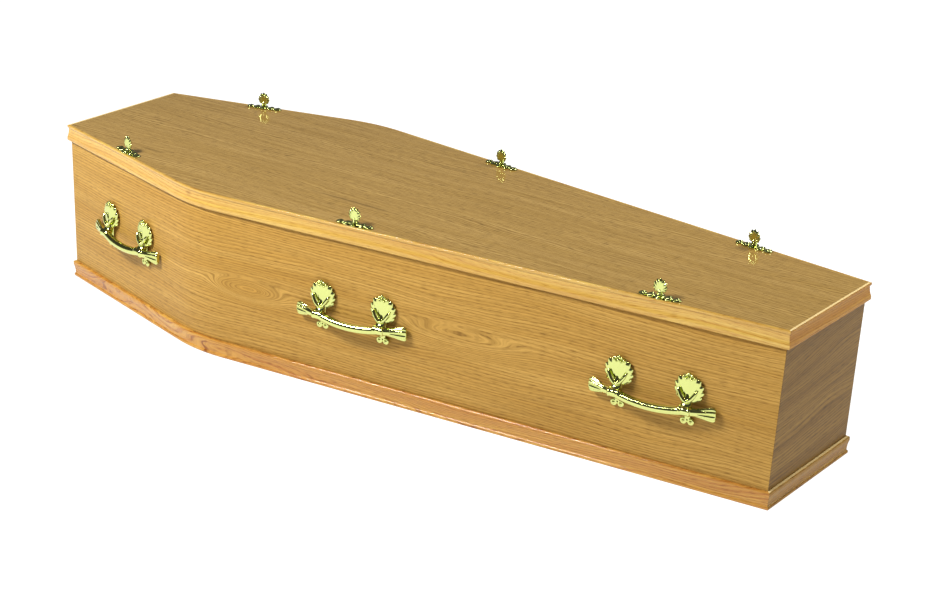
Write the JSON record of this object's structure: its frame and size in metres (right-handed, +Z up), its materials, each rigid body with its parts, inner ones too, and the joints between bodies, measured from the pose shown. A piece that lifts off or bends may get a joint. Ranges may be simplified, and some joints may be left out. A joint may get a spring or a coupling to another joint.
{
  "type": "wooden coffin",
  "caption": "Shouldered wooden coffin with a flat lift-off lid, moulded oak edges at lid and base, fixed cast bar handles on both sides and ornamental lid screws.",
  "frame": {"origin": "on the floor under the middle of the coffin", "axes": "+X towards the foot end along the length, +Y to the left side of someone lying in it, +Z up"},
  "size_m": [1.962, 0.6394, 0.4286],
  "materials": {
    "oak_veneer": "lacquered oak veneer on board",
    "oak_veneer_lid": "lacquered oak veneer on board",
    "solid_oak_base": "lacquered solid oak moulding",
    "solid_oak_lid": "lacquered solid oak moulding",
    "electro_brass": "bright electroplated brass on castings"
  },
  "bodies": {
    "root": {"base_board": "oak_veneer", "side_panel_right": "oak_veneer", "side_panel_left": "oak_veneer", "head_panel": "oak_veneer", "foot_panel": "oak_veneer", "lid_board": "oak_veneer_lid", "base_moulding_right": "solid_oak_base", "lid_moulding_right": "solid_oak_lid", "base_moulding_left": "solid_oak_base", "lid_moulding_left": "solid_oak_lid", "base_moulding_head": "solid_oak_base", "lid_moulding_head": "solid_oak_lid", "base_moulding_foot": "solid_oak_base", "lid_moulding_foot": "solid_oak_lid", "handle_right_head": "electro_brass", "lid_screw_plate_right_head": "electro_brass", "lid_screw_right_head": "electro_brass", "handle_right_middle": "electro_brass", "lid_screw_plate_right_middle": "electro_brass", "lid_screw_right_middle": "electro_brass", "handle_right_foot": "electro_brass", "lid_screw_plate_right_foot": "electro_brass", "lid_screw_right_foot": "electro_brass", "handle_left_head": "electro_brass", "lid_screw_plate_left_head": "electro_brass", "lid_screw_left_head": "electro_brass", "handle_left_middle": "electro_brass", "lid_screw_plate_left_middle": "electro_brass", "lid_screw_left_middle": "electro_brass", "handle_left_foot": "electro_brass", "lid_screw_plate_left_foot": "electro_brass", "lid_screw_left_foot": "electro_brass"}
  },
  "joints": []
}
